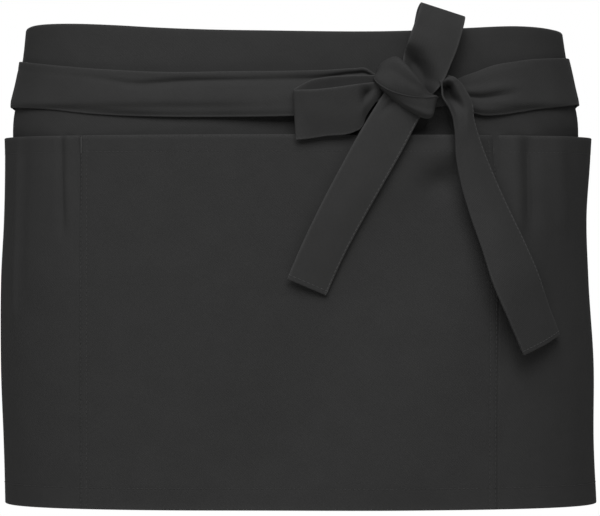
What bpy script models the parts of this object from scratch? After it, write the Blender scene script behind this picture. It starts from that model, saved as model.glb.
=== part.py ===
# Waist apron in charcoal twill, kept in the form that it has when it is worn.
# A flat panel wraps a waist and hangs. A folded band binds its top, a second panel sewn
# over its lower part makes three pockets, and two ties cross behind and meet in a bow in front.
# Metres, +Z up, front towards -Y. The origin is the middle of the waist, at the ties' height.

import math

import bmesh
import bpy
import numpy as np

# Cut sizes of the cloth
APRON_WIDTH = 0.700
APRON_LENGTH = 0.305
BAND_HEIGHT = 0.048
POCKET_HEIGHT = 0.235
CENTRE_POCKET_WIDTH = 0.262
POCKET_GAPE = 0.0072
TIE_WIDTH = 0.029
TIE_SEWN_LAP = 0.030

# Walls and the space between layers
PANEL_WALL = 0.0010
BAND_WALL = 0.0010
POCKET_WALL = 0.0010
TIE_WALL = 0.0012
SEWN_GAP = 0.0003
BAND_GAP = 0.0005
WORN_GAP = 0.0007
BOW_GAP = 0.0003

# Waist and hips that the apron keeps the form of
HALF_WIDTH = 0.1877
FRONT_DEPTH = 0.113
BACK_DEPTH = 0.120
SECTION_POWER = 2.7
TOP_ABOVE_WAIST = 0.0385
TOP_DIP = 0.0055
APRON_SHIFT = -0.006
FOLD_DEPTH = 0.004

# Bow
KNOT_ALONG = 0.0665
KNOT_HEIGHT = -0.003
KNOT_LENGTH = 0.044
KNOT_WIDTH = 0.021
KNOT_DEPTH = 0.017
KNOT_TURN = math.radians(48)
LOOP_LENGTH = 0.067
LOOP_DEPTH = 0.011
TAB_LENGTH = 0.050
TAB_DEPTH = 0.006
LEFT_TAIL_REACH = 0.138
RIGHT_TAIL_REACH = 0.184

# Grid of the nested layers
STATIONS = 46
POCKET_ROWS = 10
BAND_ROWS = 4
FOLD_STEPS = 4
SECTION_SAMPLES = 720


def table(columns, *rows):
    return np.array(list(rows), dtype=[(name, float) for name in columns.split()])


# Waist form: drop as a share of the apron's length, half-widths and depths of their sizes
FORM = table(
    "drop left right front back",
    (0.00, 0.915, 0.892, 0.938, 0.900),
    (0.06, 0.925, 0.907, 0.938, 0.908),
    (0.11, 0.938, 0.924, 0.942, 0.925),
    (0.19, 0.965, 0.955, 0.960, 0.950),
    (0.26, 0.967, 0.957, 0.969, 0.967),
    (0.40, 0.977, 0.953, 0.982, 0.983),
    (0.53, 0.993, 0.969, 0.991, 0.992),
    (0.70, 0.998, 0.995, 1.000, 1.000),
    (0.87, 0.992, 1.002, 1.000, 1.000),
    (1.00, 0.987, 1.013, 1.000, 1.000),
)

# Top edge: place as a share of the half apron, dip as a share of the top's dip
TOP_LINE = table(
    "at dip",
    (0.00, 1.00),
    (0.20, 0.72),
    (0.34, 0.20),
    (0.45, 0.00),
    (0.60, 0.02),
    (1.00, 0.10),
)

# Soft folds that lean from "at" to "foot", shares of the half apron, down a stretch of drop
FOLDS = table(
    "at foot start end width rise",
    (0.24, -0.12, 0.26, 1.10, 0.110, -0.80),
    (0.42, 0.14, 0.30, 1.10, 0.100, 0.55),
    (-0.43, -0.46, 0.22, 0.60, 0.060, 0.35),
    (0.42, 0.44, 0.22, 0.60, 0.060, 0.40),
    (-0.88, -0.84, 0.30, 1.10, 0.080, 0.60),
    (0.90, 0.86, 0.30, 1.10, 0.080, 0.60),
)

# Pockets: side seams as shares of the half apron measured from the centre pocket's seams
POCKET_MOUTHS = {"left": 0.72, "centre": 0.76, "right": 1.00}

# Tie paths from the far rear corner to the knot: height and width as shares of the tie's width
LEFT_TIE = table(
    "way height width",
    (0.00, 0.00, 1.00),
    (0.17, 0.07, 1.00),
    (0.34, 0.07, 1.00),
    (0.54, -0.17, 1.00),
    (0.65, -0.235, 0.98),
    (0.85, -0.20, 0.97),
    (1.00, -0.17, 0.90),
)
RIGHT_TIE = table(
    "way height width",
    (0.00, 0.00, 1.00),
    (0.27, 0.19, 1.00),
    (0.55, 0.15, 1.04),
    (0.70, 0.00, 1.04),
    (0.84, -0.17, 0.92),
    (1.00, -0.19, 0.70),
)

# Tails: across and down from the knot as shares of the tail's reach, width of the tie's width
LEFT_TAIL = table(
    "way across down width lift",
    (0.00, -0.025, 0.104, 0.88, 0.0),
    (0.33, -0.163, 0.362, 0.94, 0.5),
    (0.70, -0.346, 0.703, 0.98, 1.0),
    (1.00, -0.438, 0.899, 0.98, 1.2),
)
RIGHT_TAIL = table(
    "way across down width lift",
    (0.00, 0.150, -0.010, 0.20, 0.0),
    (0.13, 0.198, 0.096, 0.36, 0.3),
    (0.23, 0.215, 0.190, 0.55, 0.6),
    (0.33, 0.236, 0.280, 0.72, 0.8),
    (0.52, 0.300, 0.473, 0.94, 1.0),
    (0.80, 0.410, 0.743, 1.02, 1.2),
    (1.00, 0.481, 0.878, 1.03, 1.2),
)
TAIL_LIFT = 0.0015

# Left loop: across from the knot as a share of its length, depth of its depth
LEFT_LOOP = table(
    "way across depth height width",
    (0.00, -0.270, 0.15, -0.05, 0.55),
    (0.15, -0.500, 0.02, -0.20, 0.85),
    (0.35, -0.850, 0.00, -0.48, 1.02),
    (0.45, -0.985, 0.18, -0.57, 1.05),
    (0.50, -1.020, 0.50, -0.59, 1.06),
    (0.55, -0.985, 0.82, -0.61, 1.06),
    (0.65, -0.850, 1.00, -0.57, 1.00),
    (0.85, -0.500, 1.00, -0.40, 0.84),
    (1.00, -0.270, 0.65, -0.18, 0.52),
)

# Upper loop: across and up from the knot as shares of its length, up its back, down its front
UPPER_LOOP = table(
    "way across up depth width",
    (0.00, 0.390, -0.02, 0.15, 0.24),
    (0.12, 0.345, 0.16, 0.08, 0.56),
    (0.23, 0.305, 0.34, 0.02, 0.84),
    (0.36, 0.330, 0.62, 0.00, 1.00),
    (0.46, 0.420, 0.94, 0.15, 0.98),
    (0.50, 0.445, 0.99, 0.50, 0.98),
    (0.54, 0.435, 0.95, 0.85, 0.98),
    (0.64, 0.335, 0.62, 1.00, 1.00),
    (0.77, 0.305, 0.34, 0.95, 0.84),
    (0.88, 0.345, 0.16, 0.80, 0.56),
    (1.00, 0.390, -0.02, 0.60, 0.24),
)
UPPER_LOOP_LEAN = 0.30

# Places worked out from the sizes
HALF_APRON = APRON_WIDTH / 2
HEM_Z = TOP_ABOVE_WAIST - APRON_LENGTH
MOUTH_Z = HEM_Z + POCKET_HEIGHT
BAND_FOOT_Z = TOP_ABOVE_WAIST - BAND_HEIGHT
PANEL_INNER = BAND_WALL + BAND_GAP
PANEL_OUTER = PANEL_INNER + PANEL_WALL
BAND_OUTER = PANEL_OUTER + BAND_GAP + BAND_WALL
FOLD_RADIUS = PANEL_WALL / 2 + BAND_GAP
TIE_SEAT = BAND_OUTER + WORN_GAP
TIE_OUTER = TIE_SEAT + TIE_WALL
BOW_SEAT = TIE_OUTER + BOW_GAP


def smooth(at, values, where):
    """Value on a smooth curve through a table's rows."""
    slopes = np.gradient(values, at)
    i = int(np.clip(np.searchsorted(at, where) - 1, 0, len(at) - 2))
    step = at[i + 1] - at[i]
    t = float(np.clip((where - at[i]) / step, 0.0, 1.0))
    left = (1 + 2 * t) * (1 - t) ** 2 * values[i] + step * t * (1 - t) ** 2 * slopes[i]
    right = t * t * (3 - 2 * t) * values[i + 1] - step * t * t * (1 - t) * slopes[i + 1]
    return left + right


def ease(value, start, end):
    """0 before start, 1 after end, and smooth between."""
    t = min(max((value - start) / (end - start), 0.0), 1.0)
    return t * t * (3 - 2 * t)


SECTIONS = {}


def section(z):
    """Arc lengths from the front's middle, with x and y, round the waist form at a height."""
    key = round(z, 5)
    if key not in SECTIONS:
        drop = (TOP_ABOVE_WAIST - z) / APRON_LENGTH
        left, right = (HALF_WIDTH * smooth(FORM["drop"], FORM[side], drop) for side in ("left", "right"))
        front = FRONT_DEPTH * smooth(FORM["drop"], FORM["front"], drop)
        back = BACK_DEPTH * smooth(FORM["drop"], FORM["back"], drop)
        turn = np.linspace(-math.pi, math.pi, 2 * SECTION_SAMPLES + 1)
        width = np.where(np.sin(turn) < 0, left, right)
        depth = np.where(np.cos(turn) > 0, front, back)
        inverse = np.abs(np.sin(turn) / width) ** SECTION_POWER + np.abs(np.cos(turn) / depth) ** SECTION_POWER
        radius = inverse ** (-1 / SECTION_POWER)
        x, y = radius * np.sin(turn), -radius * np.cos(turn)
        arc = np.concatenate([[0.0], np.cumsum(np.hypot(np.diff(x), np.diff(y)))])
        SECTIONS[key] = arc - arc[SECTION_SAMPLES], x, y
    return SECTIONS[key]


def girth(z):
    arc = section(z)[0]
    return arc[-1] - arc[0]


def fold_rise(along, z):
    """How far the cloth's soft folds stand out at a place."""
    drop = (TOP_ABOVE_WAIST - z) / APRON_LENGTH
    share = (along - APRON_SHIFT) / HALF_APRON
    total = 0.0
    for fold in FOLDS:
        down = (drop - fold["start"]) / (fold["end"] - fold["start"])
        middle = fold["at"] + (fold["foot"] - fold["at"]) * max(down, 0.0)
        ramp = ease(down, 0.0, 0.35) * (1 - ease(down, 0.75, 1.0))
        total += fold["rise"] * ramp * math.exp(-(((share - middle) / fold["width"]) ** 2))
    return FOLD_DEPTH * total


def on_form(along, z, out):
    """Point at an arc length along the waist form, a height, and a distance out from it."""
    arc, x, y = section(z)
    around = girth(z)
    place = (along - arc[0]) % around + arc[0]
    reach = HALF_WIDTH / SECTION_SAMPLES * 4
    ahead = (place + reach - arc[0]) % around + arc[0]
    behind = (place - reach - arc[0]) % around + arc[0]
    run_x = np.interp(ahead, arc, x) - np.interp(behind, arc, x)
    run_y = np.interp(ahead, arc, y) - np.interp(behind, arc, y)
    size = math.hypot(run_x, run_y)
    out += fold_rise(place, z)
    return (
        float(np.interp(place, arc, x) + out * run_y / size),
        float(np.interp(place, arc, y) - out * run_x / size),
        z,
    )


def on_waist(share, z, out):
    """As on_form, with the place given as a share of the girth, so that a tie runs true."""
    return on_form(share * girth(z), z, out)


def top_z(along):
    """Height of the apron's top edge."""
    share = min(abs(along - APRON_SHIFT) / HALF_APRON, 1.0)
    return TOP_ABOVE_WAIST - TOP_DIP * smooth(TOP_LINE["at"], TOP_LINE["dip"], share)


def row_z(along, z):
    """Height of a row of the grid, which follows the top edge above the band's foot."""
    share = min(max((z - BAND_FOOT_Z) / BAND_HEIGHT, 0.0), 1.0)
    return z + share * (top_z(along) - TOP_ABOVE_WAIST)


def material(name, colour, roughness):
    made = bpy.data.materials.new(name)
    made.use_nodes = True
    shader = made.node_tree.nodes["Principled BSDF"]
    shader.inputs["Base Color"].default_value = (*colour, 1.0)
    shader.inputs["Roughness"].default_value = roughness
    shader.inputs["Metallic"].default_value = 0.0
    made.diffuse_color = (*colour, 1.0)
    return made


def add_object(name, mesh, colour, roughness=0.9):
    mesh.materials.append(material(name + "_cloth", colour, roughness))
    piece = bpy.data.objects.new(name, mesh)
    APRON.objects.link(piece)
    mesh.shade_smooth()
    return piece


def cloth(name, columns, rows, place, wall, colour):
    """Sheet of cloth: a grid put in place by a function, with its wall on the outer side."""
    sheet = bmesh.new()
    bmesh.ops.create_grid(sheet, x_segments=columns, y_segments=rows, size=0.5)
    for vert in sheet.verts:
        vert.co = place(vert.co.x + 0.5, vert.co.y + 0.5)
    mesh = bpy.data.meshes.new(name)
    sheet.to_mesh(mesh)
    sheet.free()
    piece = add_object(name, mesh, colour)
    solid = piece.modifiers.new("wall", "SOLIDIFY")
    solid.thickness = wall
    solid.offset = 1.0
    return piece


def apron_along(across):
    return APRON_SHIFT + APRON_WIDTH * (across - 0.5)


def panel_heights():
    """Rows of the panel's grid, from the hem up to just under the band's fold."""
    pocket = np.linspace(HEM_Z, MOUTH_Z, POCKET_ROWS + 1)
    band = np.linspace(BAND_FOOT_Z, TOP_ABOVE_WAIST - BAND_WALL - FOLD_RADIUS, BAND_ROWS + 1)
    return np.concatenate([pocket, band])


def make_panel():
    heights = panel_heights()

    def place(across, up):
        along = apron_along(across)
        z = row_z(along, heights[round(up * (len(heights) - 1))])
        return on_form(along, z, PANEL_INNER)

    cloth("apron_panel", STATIONS, len(heights) - 1, place, PANEL_WALL, (0.034, 0.034, 0.035))


def make_waistband():
    """Band folded over the panel's top: outer leaf, round fold and inner leaf."""
    middle = BAND_WALL + FOLD_RADIUS
    leaf = panel_heights()[-BAND_ROWS - 1:]
    profile = [(middle + FOLD_RADIUS, z) for z in leaf]
    for step in range(1, FOLD_STEPS):
        turn = math.pi * step / FOLD_STEPS
        profile.append((middle + FOLD_RADIUS * math.cos(turn), leaf[-1] + FOLD_RADIUS * math.sin(turn)))
    profile += [(middle - FOLD_RADIUS, z) for z in leaf[::-1]]

    def place(across, up):
        along = apron_along(across)
        out, z = profile[round(up * (len(profile) - 1))]
        return on_form(along, row_z(along, z), out)

    cloth("waistband", STATIONS, len(profile) - 1, place, BAND_WALL, (0.036, 0.036, 0.037))


def pocket_out(along, z):
    """Inner side of the pocket panel: flat on its seams, and open at the mouths."""
    seam = CENTRE_POCKET_WIDTH / 2
    place = along - APRON_SHIFT
    if abs(place) < seam:
        share, mouth = (place + seam) / (2 * seam), "centre"
    else:
        share = (abs(place) - seam) / (HALF_APRON - seam)
        mouth = "left" if place < 0 else "right"
    swell = math.sin(math.pi * min(max(share, 0.0), 1.0)) ** 1.5
    down = min(max((MOUTH_Z - z) / POCKET_HEIGHT, 0.0), 1.0)
    fall = max(1 - 1.1 * down, 0.0) ** 1.5
    return PANEL_OUTER + SEWN_GAP + POCKET_GAPE * POCKET_MOUTHS[mouth] * swell * fall


def make_pockets():
    def place(across, up):
        along = apron_along(across)
        z = HEM_Z + POCKET_HEIGHT * up
        return on_form(along, z, pocket_out(along, z))

    cloth("pocket_panel", STATIONS, POCKET_ROWS, place, POCKET_WALL, (0.032, 0.032, 0.033))


def make_tie(name, path, side, outside, colour):
    """Tie sewn to one rear corner. It slants across the back, passes below the other
    tie's sewn end, and comes round to the knot. Places are shares of the girth."""
    waist = girth(0.0)
    lap = TIE_SEWN_LAP / waist
    near_edge = (HALF_APRON + side * APRON_SHIFT) / waist
    far_edge = 1 - (HALF_APRON - side * APRON_SHIFT) / waist
    start, far_corner = near_edge - lap, far_edge + 1.2 * lap
    knot = 1 + (side * KNOT_ALONG - WORN_GAP) / waist
    slack = 0.4 * lap
    high = top_z(APRON_SHIFT + HALF_APRON) - TIE_WIDTH / 2 - WORN_GAP
    low = high - TIE_WIDTH - 2 * WORN_GAP

    def place(across, up):
        share = start + (knot - start) * (across if side > 0 else 1 - across)
        way = max((share - far_corner) / (knot - far_corner), 0.0)
        behind = high + (low - high) * ease(share, near_edge + slack, far_edge - slack)
        settled = ease(way, 0.0, 0.3)
        width = TIE_WIDTH * smooth(path["way"], path["width"], way)
        height = TIE_WIDTH * smooth(path["way"], path["height"], way)
        z = behind * (1 - settled) + height * settled + width * (up - 0.5)
        crossing = ease(share, near_edge - slack, near_edge + slack)
        crossing *= 1 - ease(share, far_edge, far_edge + lap)
        return on_waist(side * share, z, TIE_SEAT + outside * crossing)

    columns = round((knot - start) * waist / APRON_WIDTH * STATIONS)
    cloth(name, columns, 3, place, TIE_WALL, colour)


def strip_point(middle, ahead, behind, width, side):
    """Point at a share of a strip's width, square to its run in the plane of the cloth."""
    run_along, run_z = ahead[0] - behind[0], ahead[1] - behind[1]
    size = math.hypot(run_along, run_z)
    return middle[0] - run_z / size * width * side, middle[1] + run_along / size * width * side


def make_tail(name, path, reach, rows, colour):
    """Tail of a tie: it leaves the knot and hangs over the pockets' mouth."""

    def middle(way):
        across = smooth(path["way"], path["across"], way)
        down = smooth(path["way"], path["down"], way)
        return KNOT_ALONG + reach * across, KNOT_HEIGHT - reach * down

    def place(way, side):
        width = TIE_WIDTH * smooth(path["way"], path["width"], way)
        step = 0.02
        ahead, behind = middle(min(way + step, 1.0)), middle(max(way - step, 0.0))
        along, z = strip_point(middle(way), ahead, behind, width, side - 0.5)
        under = max(TIE_OUTER, pocket_out(along, min(z, MOUTH_Z)) + POCKET_WALL)
        lift = TAIL_LIFT * smooth(path["way"], path["lift"], way)
        return on_form(along, z, under + WORN_GAP + lift)

    cloth(name, rows, 3, place, TIE_WALL, colour)


def make_left_loop():
    """Flattened loop that lies to the left of the knot, open above and below."""
    path = LEFT_LOOP
    back = max(BOW_SEAT, pocket_out(APRON_SHIFT, MOUTH_Z) + POCKET_WALL + WORN_GAP) + TIE_WALL

    def place(way, up):
        along = KNOT_ALONG + LOOP_LENGTH * smooth(path["way"], path["across"], way)
        width = TIE_WIDTH * smooth(path["way"], path["width"], way)
        z = KNOT_HEIGHT + TIE_WIDTH * smooth(path["way"], path["height"], way) + width * (up - 0.5)
        return on_form(along, z, back + LOOP_DEPTH * smooth(path["way"], path["depth"], way))

    cloth("bow_loop_left", 20, 3, place, TIE_WALL, (0.042, 0.042, 0.043))


def make_upper_loop():
    """Flattened loop that stands up from the knot, above the apron's top edge."""
    path = UPPER_LOOP

    def place(way, side):
        width = TIE_WIDTH * smooth(path["way"], path["width"], way)
        up = smooth(path["way"], path["up"], way)
        along = KNOT_ALONG + TAB_LENGTH * smooth(path["way"], path["across"], way) + width * (side - 0.5)
        z = KNOT_HEIGHT + TAB_LENGTH * up - UPPER_LOOP_LEAN * up * width * (side - 0.5)
        out = BOW_SEAT + TIE_WALL + TAB_DEPTH * smooth(path["way"], path["depth"], way)
        return on_form(along, z, out)

    cloth("bow_loop_upper", 22, 3, place, TIE_WALL, (0.041, 0.041, 0.042))


def make_knot():
    """Knot: a rounded lump that leans across the ties, with a groove where a turn crosses it."""
    ball = bmesh.new()
    bmesh.ops.create_uvsphere(ball, u_segments=18, v_segments=10, radius=1.0)
    for vert in ball.verts:
        length, depth, width = vert.co.x, -vert.co.y, vert.co.z
        groove = 1 - 0.10 * math.exp(-(((length - 0.15) / 0.18) ** 2)) * max(depth, 0.0)
        across = KNOT_LENGTH / 2 * length
        aside = KNOT_WIDTH / 2 * width
        along = KNOT_ALONG + across * math.cos(KNOT_TURN) + aside * math.sin(KNOT_TURN)
        z = KNOT_HEIGHT - across * math.sin(KNOT_TURN) + aside * math.cos(KNOT_TURN)
        out = BOW_SEAT + KNOT_DEPTH / 2 * (1 + depth * groove)
        vert.co = on_form(along, z, out)
    mesh = bpy.data.meshes.new("bow_knot")
    ball.to_mesh(mesh)
    ball.free()
    add_object("bow_knot", mesh, (0.043, 0.043, 0.044))


for old in list(bpy.data.objects):
    bpy.data.objects.remove(old, do_unlink=True)

APRON = bpy.data.collections.new("waist_apron")
bpy.context.scene.collection.children.link(APRON)

make_panel()
make_waistband()
make_pockets()
make_tie("tie_left", LEFT_TIE, 1, TIE_WALL + WORN_GAP, (0.040, 0.040, 0.041))
make_tie("tie_right", RIGHT_TIE, -1, 0.0, (0.039, 0.039, 0.040))
make_left_loop()
make_upper_loop()
make_tail("tail_left", LEFT_TAIL, LEFT_TAIL_REACH, 12, (0.044, 0.044, 0.045))
make_tail("tail_right", RIGHT_TAIL, RIGHT_TAIL_REACH, 16, (0.044, 0.044, 0.045))
make_knot()
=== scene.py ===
import math

import bmesh
import bpy
import numpy as np
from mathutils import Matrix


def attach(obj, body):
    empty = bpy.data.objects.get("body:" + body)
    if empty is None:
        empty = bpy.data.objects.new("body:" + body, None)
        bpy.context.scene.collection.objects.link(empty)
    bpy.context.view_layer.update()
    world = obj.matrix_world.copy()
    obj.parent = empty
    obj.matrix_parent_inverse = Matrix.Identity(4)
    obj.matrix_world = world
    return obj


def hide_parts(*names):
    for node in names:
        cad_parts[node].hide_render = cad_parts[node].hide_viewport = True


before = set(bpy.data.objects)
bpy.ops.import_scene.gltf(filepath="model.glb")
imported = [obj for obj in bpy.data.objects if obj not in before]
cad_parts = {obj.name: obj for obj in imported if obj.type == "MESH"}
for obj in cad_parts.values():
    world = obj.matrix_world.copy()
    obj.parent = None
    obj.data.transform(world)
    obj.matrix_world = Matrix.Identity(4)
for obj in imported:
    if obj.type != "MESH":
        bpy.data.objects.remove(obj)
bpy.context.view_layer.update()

mm = 0.001

# A charcoal waist apron as worn: panel, folded band, pocket panel, two tapes and their bow.
# Front is -Y. "along" is the way round the waist from the front's middle, "out" is away from it.

waistForm = {
    "halfWidth": 0.1877,
    "frontDepth": 0.113,
    "backDepth": 0.120,
    "power": 2.7,  # 2 is an ellipse, more is squarer
    "topAboveWaist": 0.0385,
    "topDip": 0.0055,
    "shift": -0.006,  # the apron's middle lies this far to the left
    "foldDepth": 0.006,
}
cut = {
    "width": 0.700,
    "length": 0.305,
    "band": 0.048,
    "pocket": 0.235,
    "mouthRim": 0.0007,  # the rolled edge of the mouth stands above its last row
    "centrePocket": 0.262,
    "gape": 0.0072,
    "tape": 0.029,
    "tapeLap": 0.030,
}
wall = {
    "panel": 0.0010,
    "band": 0.0010,
    "pocket": 0.0010,
    "tape": 0.0012,
    "sewnGap": 0.0003,
    "bandGap": 0.0005,
    "wornGap": 0.0007,
}


def table(columns, *rows):
    return np.array(list(rows), dtype=[(name, float) for name in columns.split()])


formRows = table(
    "drop left right front back",  # shares of the length and of the form's sizes
    (0, 0.915, 0.892, 0.938, 0.9),
    (0.06, 0.925, 0.907, 0.938, 0.908),
    (0.11, 0.938, 0.924, 0.942, 0.925),
    (0.19, 0.965, 0.955, 0.96, 0.95),
    (0.26, 0.967, 0.957, 0.969, 0.967),
    (0.4, 0.977, 0.953, 0.982, 0.983),
    (0.53, 0.993, 0.969, 0.991, 0.992),
    (0.7, 0.998, 0.995, 1, 1),
    (0.87, 0.992, 1.002, 1, 1),
    (1, 0.987, 1.013, 1, 1),
)
topRows = table(
    "at dip",  # along in millimetres, and how far the band's top edge dips, as a share of topDip
    (-350, 0), (-215, -0.1), (-175, -0.26), (-150, -0.18), (-113, 0.18), (-92, 0.45),
    (-55, 0.76), (-20, 0.88), (70, 0.88), (105, 0.52), (145, 0.12), (165, 0.14), (185, 0.26),
    (215, 0.3), (260, 0.1), (350, 0),
)
foldRows = table(
    "at foot start end width rise",  # soft folds that both layers share
    (0.24, -0.12, 0.26, 1.1, 0.11, -0.8),
    (0.42, 0.14, 0.3, 1.1, 0.1, 0.55),
    (-0.43, -0.46, 0.22, 0.6, 0.06, 0.35),
    (0.42, 0.44, 0.22, 0.6, 0.06, 0.4),
    (-0.88, -0.84, 0.3, 1.1, 0.08, 0.6),
    (0.9, 0.86, 0.3, 1.1, 0.08, 0.6),
)
pocketFoldRows = table(
    "at foot start end width rise",  # narrow folds under the pockets' mouths
    (-0.421, -0.409, 0.15, 0.46, 0.007, -0.25),
    (-0.403, -0.396, 0.15, 0.46, 0.008, 0.18),
    (-0.386, -0.379, 0.15, 0.4, 0.006, -0.18),
    (-0.528, -0.536, 0.18, 0.66, 0.009, 0.26),
    (-0.5, -0.51, 0.18, 0.6, 0.014, -0.12),
    (0.414, 0.414, 0.17, 0.48, 0.017, 0.36),
    (0.446, 0.442, 0.17, 0.46, 0.018, -0.44),
    (0.495, 0.53, 0.17, 0.46, 0.022, 0.36),
    (0.372, 0.382, 0.16, 0.32, 0.009, -0.3),
)
mouths = {"left": 0.56, "centre": 0.76, "right": 1.00}  # how far each pocket gapes

halfApron = cut["width"] / 2
topZ = waistForm["topAboveWaist"]
hemZ = topZ - cut["length"]
mouthZ = hemZ + cut["pocket"] - cut["mouthRim"]
bandFootZ = topZ - cut["band"]
seam = cut["centrePocket"] / 2
panelInner = wall["band"] + wall["bandGap"]
panelOuter = panelInner + wall["panel"]
panelMiddle = panelInner + wall["panel"] / 2
bandOuter = panelOuter + wall["bandGap"] + wall["band"]
foldBase = topZ - wall["band"] - (wall["panel"] / 2 + wall["bandGap"])  # the band turns over here
tapeSeat = bandOuter + wall["wornGap"]
tapeCloth = wall["tape"] * 0.85  # worn ties are pressed a little thinner than their solids


def smooth(at, values, where):
    where = np.asarray(where, float)
    slopes = np.gradient(values, at)
    i = np.clip(np.searchsorted(at, where) - 1, 0, len(at) - 2)
    step = at[i + 1] - at[i]
    t = np.clip((where - at[i]) / step, 0.0, 1.0)
    first = (1 + 2 * t) * (1 - t) ** 2 * values[i] + step * t * (1 - t) ** 2 * slopes[i]
    return first + t * t * (3 - 2 * t) * values[i + 1] - step * t * t * (1 - t) * slopes[i + 1]


def ease(value, start, end):
    t = np.clip((np.asarray(value, float) - start) / (end - start), 0.0, 1.0)
    return t * t * (3 - 2 * t)


def bump(value, middle, width):
    return np.exp(-(((np.asarray(value, float) - middle) / width) ** 2))


# The waist form is sampled once, by height and by distance round it
formGrid = {
    "zLow": -0.300, "zHigh": 0.080, "zStep": 0.0015,
    "sLow": -0.56, "sHigh": 0.56, "sStep": 0.0010,
    "halfTurn": 720,  # samples in half a turn
}
levels = np.arange(formGrid["zLow"], formGrid["zHigh"], formGrid["zStep"])
stations = np.arange(formGrid["sLow"], formGrid["sHigh"], formGrid["sStep"])


def runAlong(x, y):
    return np.concatenate([[0.0], np.cumsum(np.hypot(np.diff(x), np.diff(y)))])


def sampleForm():
    turn = np.linspace(-math.pi, math.pi, 2 * formGrid["halfTurn"] + 1)
    side, ahead = np.sin(turn), np.cos(turn)
    power = waistForm["power"]
    xs, ys, girths = [], [], []
    for z in levels:
        drop = (topZ - z) / cut["length"]
        left, right, front, back = (
            float(smooth(formRows["drop"], formRows[name], drop))
            for name in ("left", "right", "front", "back"))
        wide = np.where(side < 0, left, right) * waistForm["halfWidth"]
        deep = np.where(ahead > 0, front * waistForm["frontDepth"], back * waistForm["backDepth"])
        radius = (np.abs(side / wide) ** power + np.abs(ahead / deep) ** power) ** (-1 / power)
        x, y = radius * side, -radius * ahead
        arc = runAlong(x, y)
        arc -= arc[formGrid["halfTurn"]]
        girth = arc[-1] - arc[0]
        xs.append(np.interp(stations, arc, x, period=girth))
        ys.append(np.interp(stations, arc, y, period=girth))
        girths.append(girth)
    return np.array(xs), np.array(ys), np.array(girths)


formX, formY, formGirth = sampleForm()
print("waist form sampled:", formX.shape)


def girthAt(z):
    return np.interp(z, levels, formGirth)


def lookUp(grid, along, z):
    u = np.clip((along - formGrid["sLow"]) / formGrid["sStep"], 0, len(stations) - 1.001)
    v = np.clip((z - formGrid["zLow"]) / formGrid["zStep"], 0, len(levels) - 1.001)
    i, j = u.astype(int), v.astype(int)
    a, b = u - i, v - j
    low = grid[j, i] * (1 - a) + grid[j, i + 1] * a
    return low * (1 - b) + (grid[j + 1, i] * (1 - a) + grid[j + 1, i + 1] * a) * b


formDents = [  # along, height, half width, half height and rise in millimetres
    (93, -21, 13, 8, -2.6), (90, -62, 11, 9, -4.2), (62, -56, 14, 16, 0.8),
]


def dentRise(dents, along, z):
    return sum(
        rise * mm * bump(along, at * mm, wide * mm) * bump(z, up * mm, high * mm)
        for at, up, wide, high, rise in dents)


def foldRise(rows, along, z):
    drop = (topZ - z) / cut["length"]
    share = (along - waistForm["shift"]) / halfApron
    total = np.zeros_like(share)
    for row in rows:
        down = (drop - row["start"]) / (row["end"] - row["start"])
        middle = row["at"] + (row["foot"] - row["at"]) * np.maximum(down, 0.0)
        ramp = ease(down, 0.0, 0.35) * (1 - ease(down, 0.75, 1.0))  # soft start and end
        total += row["rise"] * ramp * bump(share, middle, row["width"])
    return waistForm["foldDepth"] * total


def onForm(along, z, out):
    along, z, out = np.broadcast_arrays(*(np.asarray(v, float) for v in (along, z, out)))
    girth = girthAt(z)
    place = (along + girth / 2) % girth - girth / 2
    reach = 2.5 * mm  # the form's direction is read this far to either side
    runX = lookUp(formX, place + reach, z) - lookUp(formX, place - reach, z)
    runY = lookUp(formY, place + reach, z) - lookUp(formY, place - reach, z)
    size = np.hypot(runX, runY)
    dents = dentRise(formDents, place, z) * (1 - ease(out, 9 * mm, 12 * mm))  # not in the bow
    away = out + foldRise(foldRows, place, z) + dents
    x = lookUp(formX, place, z) + away * runY / size
    y = lookUp(formY, place, z) - away * runX / size
    return np.stack([x, y, z], -1)


def topEdge(along):
    return topZ - waistForm["topDip"] * smooth(topRows["at"] * mm, topRows["dip"], along)


def rowZ(along, z):
    share = np.clip((z - bandFootZ) / cut["band"], 0.0, 1.0)
    return z + share * (topEdge(along) - topZ)


# Cloth surfaces

def finerLines(start, end, step, fine=()):  # fine: middle, half width and step of closer lines
    lines = [start]
    while lines[-1] < end - 1e-9:
        here = lines[-1]
        near = [small for middle, half, small in fine if abs(here - middle) < half]
        coming = [middle - half - here for middle, half, _ in fine]
        coming = [gap for gap in coming if 0 < gap < step]
        size = min(coming) + 1e-6 if coming else step
        if near:
            size = min(near)
        lines.append(min(here + size, end))
    return np.array(lines)


def unit(v):
    return v / np.maximum(np.linalg.norm(v, axis=-1, keepdims=True), 1e-12)


def facing(points):
    return unit(np.cross(np.gradient(points, axis=1), np.gradient(points, axis=0)))


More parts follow.
